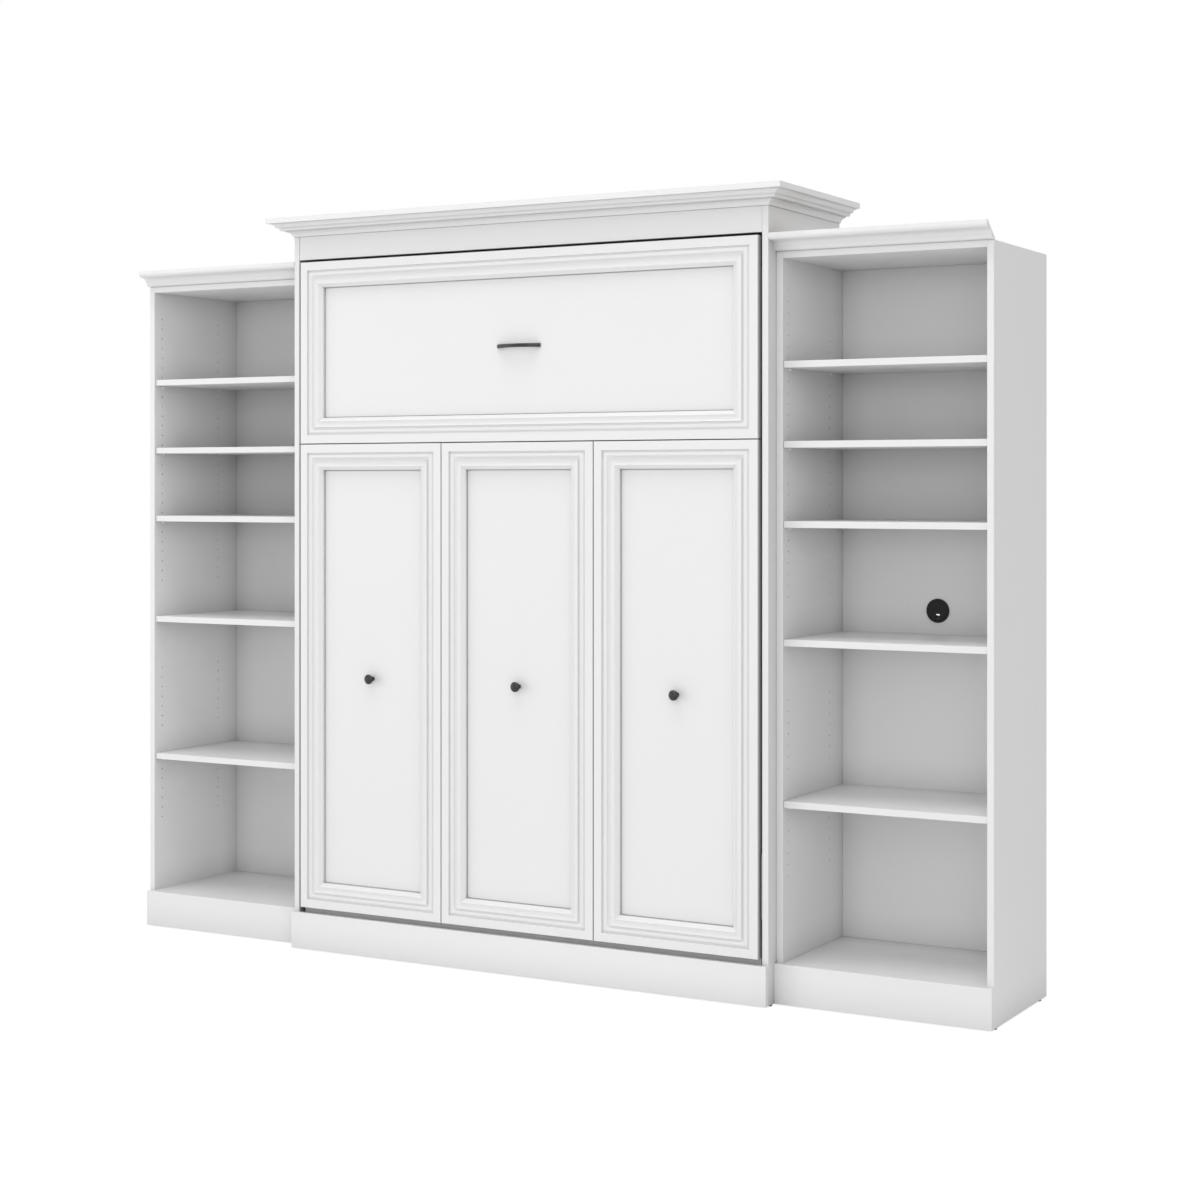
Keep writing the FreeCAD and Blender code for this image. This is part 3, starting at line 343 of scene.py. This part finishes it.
def timber(name, pale, dark):
    """Bare timber: grain lines stretched along X, with a little pore texture."""
    material, tree, shader, place = new_material(name)
    rings = noise(tree, stretched(tree, place, GRAIN_STRETCH), GRAIN_SCALE, detail=6.0)
    pores = noise(tree, stretched(tree, place, PORE_STRETCH), 1.0, detail=2.0)
    tone = mix_colour(tree, ranged(tree, rings, low=0.35, high=0.7, to_low=0.0, to_high=1.0), pale, dark)
    tone = mix_colour(tree, ranged(tree, pores, low=0.55, high=0.75, to_low=0.0, to_high=0.35), tone, dark)
    rough = ranged(tree, rings, low=0.3, high=0.7, to_low=0.5, to_high=0.66)
    feed(tree, shader, Base_Color=tone, Roughness=rough)
    bump(tree, shader, pores, strength=0.25, distance=0.0002)
    return material


def woven_ticking(name, pale, shade):
    """Woven ticking: threads as the sum of a sine wave along each axis, with slubs from noise."""
    material, tree, shader, place = new_material(name)
    split = feed(tree, add(tree, "ShaderNodeSeparateXYZ"), Vector=place).outputs
    across, deep, along = (worked(tree, "SINE", worked(tree, "MULTIPLY", split[axis], THREAD_TURNS))
                           for axis in ("X", "Y", "Z"))
    weave = worked(tree, "ADD", worked(tree, "ADD", across, deep), along)
    slub = noise(tree, place, SLUBS, detail=3.0)
    tone = mix_colour(tree, ranged(tree, weave, low=-2.0, high=2.0, to_low=0.35, to_high=0.0), pale, shade)
    tone = mix_colour(tree, ranged(tree, slub, low=0.4, high=0.75, to_low=0.0, to_high=0.25), tone, shade)
    feed(tree, shader, Base_Color=tone, Roughness=0.85, Sheen_Weight=0.25, Sheen_Roughness=0.5)
    bump(tree, shader, worked(tree, "MULTIPLY_ADD", slub, SLUB_HEIGHT, weave), strength=0.4, distance=0.0003)
    return material


# Laminate with painted shade in its corners and pits; the crown pieces' copy has deeper painted shade
laminate = white_board("white_laminate", LAMINATE_PAINTED_SHADE)
crown_laminate_painted_shade = white_board("crown_laminate_painted_shade", CROWN_PAINTED_SHADE)
black_coat = coated("black_coat", BLACK_COAT, 0.36, spread=0.3, pebble=2500.0, depth=0.00005, drift=40.0)
black_moulded = coated("black_moulded", BLACK_MOULDED, 0.2, spread=0.25, pebble=3000.0, depth=0.00002,
                       drift=60.0, Specular_IOR_Level=0.2)
grey_powder = coated("grey_powder", GREY_POWDER, 0.48, spread=0.12, pebble=1100.0, depth=0.0001, drift=20.0)
bright_plate = coated("bright_plate", BRIGHT_PLATE, 0.13, spread=0.05, pebble=4000.0, depth=0.00001,
                      drift=50.0, rough_spread=0.08, Metallic=1.0)
pin_white = coated("pin_white", PIN_WHITE, 0.45, spread=0.03, pebble=3000.0, depth=0.00002, drift=80.0)
pale_timber = timber("pale_timber", TIMBER_PALE, TIMBER_DARK)
ivory_bush = coated("ivory_bush", IVORY, 0.5, spread=0.05, pebble=2500.0, depth=0.00003, drift=60.0)
ticking = woven_ticking("mattress_ticking", TICKING_PALE, TICKING_SHADE)
tape_weave = coated("tape_weave", TAPE_GREY, 0.8, spread=0.12, pebble=1400.0, depth=0.0004, drift=120.0)
bristle = coated("brush_bristle", BRISTLE_BLACK, 0.55, spread=0.3, pebble=2200.0, depth=0.0002, drift=200.0)

SLOT_MATERIALS = {
    "white_laminate": laminate,
    "black_metal": black_coat,
    "black_plastic": black_moulded,
    "frame_steel": grey_powder,
    "rod_chrome": bright_plate,
    "pin_plastic": pin_white,
    "slat_wood": pale_timber,
    "mattress_fabric": ticking,
    "bush_plastic": ivory_bush,
}
# Pieces under and around the crowns take the laminate copy with the deeper painted shade
CROWN_PIECES = ("bed_crown_front", "bed_crown_returns", "bed_header", "bed_side_left", "bed_side_right",
                "bookcase_crown_left", "bookcase_crown_right")
for entry in frame["record"]["subparts"]:
    finish = SLOT_MATERIALS[entry["material_slot"]]
    if entry["node"] in CROWN_PIECES:
        finish = crown_laminate_painted_shade
    piece_finishes = nodes[entry["node"]].data.materials
    piece_finishes.clear()
    piece_finishes.append(finish)


# Made pieces
def new_piece(name, points, faces, material, body, slot, smooth=True):
    """A mesh object at the origin with one material, riding a body."""
    mesh = bpy.data.meshes.new(name)
    mesh.from_pydata(points.tolist(), [], faces.tolist())
    mesh.polygons.foreach_set("use_smooth", [smooth] * len(mesh.polygons))
    mesh.materials.append(material)
    piece = bpy.data.objects.new(name, mesh)
    bpy.context.scene.collection.objects.link(piece)
    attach(piece, body)
    return piece


def joined(parts):
    """Several pairs of points and faces as one pair, with the faces counted on from the points before."""
    points, faces = zip(*parts)
    starts = np.cumsum([0] + [len(group) for group in points[:-1]])
    return np.concatenate(points), np.concatenate([group + start for group, start in zip(faces, starts)])


def ring_faces(rings, sides, closed):
    """Quads between rings of points, the last ring joined to the first where the run is closed."""
    last = rings if closed else rings - 1
    row, side = np.meshgrid(np.arange(last), np.arange(sides), indexing="ij")
    after, beside = (row + 1) % rings, (side + 1) % sides
    quads = [row * sides + side, row * sides + beside, after * sides + beside, after * sides + side]
    return np.stack(quads, -1).reshape(-1, 4)


def edge_steps(low, high, radius, cell):
    """Lattice lines along one side: closer together over the rounding at each end, even between."""
    turn = radius * np.array(ROUND_SHARES)
    count = max(int(round((high - low - 2 * radius) / cell)), 1)
    middle = np.linspace(low + radius, high - radius, count + 1)
    return np.concatenate([low + turn, middle, high - turn[::-1]])


def rounded_box(low, high, radius, cell):
    """The outer points of a lattice, each drawn in to the box that lies one radius inside and set out again
    by the radius, so that every edge and corner is round. Gives the points, the faces, each point's place in
    the lattice and the lattice's counts."""
    lines = [edge_steps(low[axis], high[axis], radius, cell) for axis in range(3)]
    counts = np.array([len(line) - 1 for line in lines])
    lattice = np.stack(np.meshgrid(*[np.arange(count + 1) for count in counts], indexing="ij"), -1)
    outside = np.any((lattice == 0) | (lattice == counts), axis=-1)
    number = np.full(outside.shape, -1)
    number[outside] = np.arange(outside.sum())
    steps = lattice[outside]
    points = np.stack([lines[axis][steps[:, axis]] for axis in range(3)], -1)
    inner = np.clip(points, np.array(low) + radius, np.array(high) - radius)
    out = points - inner
    points = inner + radius * out / np.linalg.norm(out, axis=1, keepdims=True)
    faces = []
    for axis in range(3):
        for end in (0, counts[axis]):
            layer = np.take(number, end, axis)
            corners = [layer[:-1, :-1], layer[1:, :-1], layer[1:, 1:], layer[:-1, 1:]]
            quads = np.stack(corners, -1).reshape(-1, 4)
            outward = (end > 0) != (axis == 1)
            faces.append(quads if outward else quads[:, ::-1])
    return points, np.concatenate(faces), steps, counts


def swelled(points, faces, held):
    """Cloth pushed out by pressure from where it starts. Held points stay, and none moves past the swell."""
    mesh = bpy.data.meshes.new("cloth_blank")
    mesh.from_pydata(points.tolist(), [], faces.tolist())
    blank = bpy.data.objects.new("cloth_blank", mesh)
    scene = bpy.context.scene
    scene.collection.objects.link(blank)
    blank.vertex_groups.new(name="held").add(np.flatnonzero(held).tolist(), 1.0, "REPLACE")
    cloth = blank.modifiers.new("swell", "CLOTH")
    for name, value in MATTRESS_CLOTH.items():
        setattr(cloth.settings, name, value)
    cloth.settings.vertex_group_mass = "held"
    cloth.settings.effector_weights.gravity = 0.0
    cloth.point_cache.frame_start = 1
    cloth.point_cache.frame_end = MATTRESS_FRAMES
    for step in range(1, MATTRESS_FRAMES + 1):
        scene.frame_set(step)
    done = blank.evaluated_get(bpy.context.evaluated_depsgraph_get())
    flat = np.empty(len(points) * 3)
    done.data.vertices.foreach_get("co", flat)
    bpy.data.objects.remove(blank)
    scene.frame_set(1)
    shift = flat.reshape(-1, 3) - points
    length = np.linalg.norm(shift, axis=1, keepdims=True)
    return points + shift * np.minimum(1.0, MATTRESS_SWELL / np.maximum(length, TINY))


def tube_loop(path, normals, radius, sides):
    """A round tube along a closed path, whose sections stand across the path, turned by its own normals."""
    along = np.roll(path, -1, axis=0) - np.roll(path, 1, axis=0)
    along /= np.linalg.norm(along, axis=1, keepdims=True)
    first = normals - along * np.sum(normals * along, axis=1, keepdims=True)
    first /= np.linalg.norm(first, axis=1, keepdims=True)
    second = np.cross(along, first)
    turn = np.linspace(0, 2 * math.pi, sides, endpoint=False)[None, :, None]
    ring = radius * (np.cos(turn) * first[:, None] + np.sin(turn) * second[:, None])
    points = (path[:, None] + ring).reshape(-1, 3)
    return points, ring_faces(len(path), sides, True)


def mattress():
    """A quilted mattress: the panel on the slats stays flat, and the other faces swell between tufts and
    seams. Tape runs round its two seams, through their points in order of angle about the middle."""
    low, high = (np.array(corner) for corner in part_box("mattress"))
    start_low = low + np.array([MATTRESS_EASE, 0.0, MATTRESS_EASE])
    start_high = high - MATTRESS_EASE
    points, faces, steps, counts = rounded_box(start_low, start_high, MATTRESS_ROUND, MATTRESS_CELL)
    across, deep, along = steps.T
    rim = (across == 0) | (across == counts[0]) | (along == 0) | (along == counts[2])
    seam = rim & ((deep == 0) | (deep == counts[1]))
    column, row = across - counts[0] // 2, along - counts[2] // 2
    stagger = (row // TUFT_CELLS_ALONG % 2) * (TUFT_CELLS_ACROSS // 2)
    tuft = (row % TUFT_CELLS_ALONG == 0) & ((column + stagger) % TUFT_CELLS_ACROSS == 0)
    held = seam | (deep == 0) | (tuft & (deep == counts[1]))
    puffed = swelled(points, faces, held)
    piece = new_piece("quilted_mattress", puffed, faces, ticking, "bed", "mattress_fabric")
    finer = piece.modifiers.new("finer", "SUBSURF")
    finer.levels = 1
    finer.render_levels = 1
    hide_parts("mattress")
    middle = (low + high) / 2
    loops = []
    for level in (0, counts[1]):
        path = puffed[rim & (deep == level)]
        aside = (path - middle) / (high - low)
        path = path[np.argsort(np.arctan2(aside[:, 2], aside[:, 0]))]
        loops.append(tube_loop(path, path - middle, TAPE_RADIUS, TAPE_SIDES))
    new_piece("mattress_tape", *joined(loops), tape_weave, "bed", "mattress_fabric")


def socket_heads(places, inward, radius, tall, socket):
    """Button heads on a side plate. Rings run from the seat over a dome and down a six-sided socket: the
    height is a quarter turn of an ellipse over the radius, and the socket's radius follows the flats of a
    hexagon."""
    turn = np.linspace(0, 2 * math.pi, HEAD_SIDES, endpoint=False)
    swing = np.linspace(0, math.pi / 2, DOME_STEPS + 1)[:-1]
    swing = swing[radius * np.cos(swing) > socket * DOME_END_SHARE]
    flats = socket * math.cos(math.pi / 6) / np.cos((turn + math.pi / 6) % (math.pi / 3) - math.pi / 6)
    top = tall * math.sqrt(1 - (socket * SOCKET_LIP_SHARE / radius) ** 2)
    floor = tall * SOCKET_FLOOR_SHARE
    dome = np.outer(radius * np.cos(swing), np.ones(HEAD_SIDES))
    rings = np.concatenate([dome, np.outer(SOCKET_RING_SHARES, flats)])
    rises = np.concatenate([tall * np.sin(swing), [top, top * LIP_DROP_SHARE, floor, floor]])
    up = np.outer(rises, np.ones(HEAD_SIDES))
    head = np.stack([up, rings * np.cos(turn), rings * np.sin(turn)], -1).reshape(-1, 3)
    faces = ring_faces(len(rings), HEAD_SIDES, False)
    heads = []
    for place in places:
        side = inward * math.copysign(1.0, place[0])
        points = np.array(place) + head * np.array([side, 1.0, 1.0])
        heads.append((points, faces[:, ::-1] if side > 0 else faces))
    return joined(heads)


def plate_screws():
    """Screws that hold the pivot plates and strut plates to the cabinet's sides."""
    places = []
    for node, thick, aside, rises in (("pivot_plates", PIVOT_PLATE, PIVOT_SCREW_ASIDE, PIVOT_SCREW_RISES),
                                      ("strut_studs", STRUT_PLATE, STRUT_SCREW_ASIDE, STRUT_SCREW_RISES)):
        low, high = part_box(node)
        middle_y, middle_z = (low[1] + high[1]) / 2, (low[2] + high[2]) / 2
        for face in (thick - high[0], high[0] - thick):
            places += [(face, middle_y + y, middle_z + z) for z in rises for y in (-aside, aside)]
    points, faces = socket_heads(places, -1.0, SCREW_RADIUS, SCREW_TALL, SCREW_SOCKET)
    new_piece("plate_screws", points, faces, bright_plate, "cabinet", "rod_chrome")


def frame_bolts():
    """Bolts that hold the pivot arms and the leg brackets to the side rails."""
    arm_low, arm_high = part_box("arm_plates")
    rail_low, rail_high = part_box("side_rails")
    bracket_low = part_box("leg_brackets")[0]
    rail_middle = (rail_low[1] + rail_high[1]) / 2
    bracket_face = rail_high[0] + BRACKET_PLATE
    arm_rises = (arm_low[2] + ARM_BOLT_IN, arm_high[2] - ARM_BOLT_IN)
    places = []
    for sign in (-1.0, 1.0):
        places += [(sign * arm_high[0], rail_middle, z) for z in arm_rises]
        places += [(sign * bracket_face, rail_middle, bracket_low[2] + rise) for rise in BRACKET_BOLT_RISES]
    points, faces = socket_heads(places, 1.0, BOLT_RADIUS, BOLT_TALL, BOLT_SOCKET)
    new_piece("frame_bolts", points, faces, bright_plate, "bed", "rod_chrome")


def rail_plugs():
    """Plastic plugs with round edges on the open upper ends of the side rails."""
    low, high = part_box("side_rails")
    plugs = []
    for start in (low[0], high[0] - RAIL_WIDE):
        plug_low = (start, low[1], high[2])
        plug_high = (start + RAIL_WIDE, high[1], high[2] + PLUG_TALL)
        plugs.append(rounded_box(plug_low, plug_high, PLUG_ROUND, PLUG_CELL)[:2])
    new_piece("rail_plugs", *joined(plugs), black_moulded, "bed", "black_plastic")


def grommet_brushes():
    """Bristles that half close each grommet's bore behind its cap: tapered strips that run in from the bore's
    wall, each bowed a little by a half sine wave, with every second one set further back."""
    share = np.linspace(0.0, 1.0, BRISTLE_RINGS)
    turn = np.linspace(0, 2 * math.pi, BRISTLES, endpoint=False)
    out = np.stack([np.cos(turn), np.sin(turn)], -1)[:, None, None]
    beside = np.stack([-np.sin(turn), np.cos(turn)], -1)[:, None, None]
    reach = GROMMET_BORE * (1.0 - BRISTLE_SHARE * share)[:, None]
    half = BRISTLE_OVERLAP * math.pi * reach / BRISTLES * np.array([-1.0, 1.0])[:, None, None]
    flat = reach * out + half * beside
    stagger = BRISTLE_STAGGER * (np.arange(BRISTLES) % 2)[:, None, None]
    back = BRISTLE_BACK + stagger + BRISTLE_BOW * np.sin(share * math.pi)
    first = 2 * BRISTLE_RINGS * np.arange(BRISTLES)[:, None] + np.arange(BRISTLE_RINGS - 1)
    faces = np.stack([first, first + 1, first + BRISTLE_RINGS + 1, first + BRISTLE_RINGS], -1).reshape(-1, 4)
    for side in ("left", "right"):
        cap_low, cap_high = (np.array(corner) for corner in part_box("grommet_cap_" + side))
        middle = cap_high - (cap_high[0] - cap_low[0]) / 2
        deep = np.broadcast_to(cap_high[1] + back, flat.shape[:-1])
        points = np.stack([middle[0] + flat[..., 0], deep, middle[2] + flat[..., 1]], -1).reshape(-1, 3)
        new_piece("grommet_brush_" + side, points, faces, bristle, "cabinet", "black_plastic", smooth=False)


mattress()
plate_screws()
frame_bolts()
rail_plugs()
grommet_brushes()


# Floor, light and camera
def seen_by_eye(tree):
    """1 for rays that the camera, a mirror or glass sends out, else 0."""
    path = add(tree, "ShaderNodeLightPath").outputs
    first = worked(tree, "MAXIMUM", path["Is Camera Ray"], path["Is Glossy Ray"])
    return worked(tree, "MAXIMUM", first, path["Is Transmission Ray"])


def studio_floor():
    """A wide white floor that shows white to the camera and keeps the object's shadow."""
    half = FLOOR_WIDE / 2
    mesh = bpy.data.meshes.new("studio_floor")
    corners = [(-half, -half, 0), (half, -half, 0), (half, half, 0), (-half, half, 0)]
    mesh.from_pydata(corners, [], [(0, 1, 2, 3)])
    floor = bpy.data.objects.new("studio_floor", mesh)
    bpy.context.scene.collection.objects.link(floor)
    material = bpy.data.materials.new("floor_white")
    material.use_nodes = True
    tree = material.node_tree
    tree.nodes.clear()
    matt = feed(tree, add(tree, "ShaderNodeBsdfDiffuse"), Color=FLOOR_MATT).outputs[0]
    lit = feed(tree, add(tree, "ShaderNodeBsdfDiffuse"), Color=FLOOR_LIT).outputs[0]
    glow = feed(tree, add(tree, "ShaderNodeEmission"), Color=STUDIO_WHITE, Strength=FLOOR_GLOW).outputs[0]
    seen = feed_in_turn(tree, add(tree, "ShaderNodeAddShader"), lit, glow).outputs[0]
    choice = feed_in_turn(tree, add(tree, "ShaderNodeMixShader"), seen_by_eye(tree), matt, seen).outputs[0]
    feed(tree, add(tree, "ShaderNodeOutputMaterial"), Surface=choice)
    mesh.materials.append(material)


def studio_sky():
    """An even white sky: dimmer as light than it looks."""
    world = bpy.data.worlds.new("studio_sky")
    bpy.context.scene.world = world
    world.use_nodes = True
    tree = world.node_tree
    strength = ranged(tree, seen_by_eye(tree), low=0.0, high=1.0, to_low=SKY_STRENGTH, to_high=1.0)
    feed(tree, tree.nodes["Background"], Color=STUDIO_WHITE, Strength=strength)


def soft_lamp(name, place, size, power):
    """A square area lamp at a place, turned to the middle of the object."""
    data = bpy.data.lights.new(name, "AREA")
    data.shape = "SQUARE"
    data.size = size
    data.energy = power
    lamp = bpy.data.objects.new(name, data)
    bpy.context.scene.collection.objects.link(lamp)
    lamp.location = place
    way = np.array(LAMP_AIM) - np.array(place)
    flat = math.hypot(way[0], way[1])
    lamp.rotation_euler = (math.atan2(flat, -way[2]), 0, math.atan2(-way[0], way[1]))


def photo_camera():
    """A level camera where the photograph was taken from, with its picture shifted as the photograph's is."""
    data = bpy.data.cameras.new("photo_camera")
    data.lens = CAMERA_LENS
    data.sensor_width = SENSOR
    data.shift_y = CAMERA_SHIFT_UP
    camera = bpy.data.objects.new("photo_camera", data)
    camera.location = CAMERA_PLACE
    camera.rotation_euler = (math.pi / 2, 0, CAMERA_TURN)
    bpy.context.scene.collection.objects.link(camera)
    bpy.context.scene.camera = camera


studio_floor()
studio_sky()
for lamp_facts in LAMPS:
    soft_lamp(*lamp_facts)
photo_camera()
bpy.context.scene.view_settings.view_transform = "Standard"
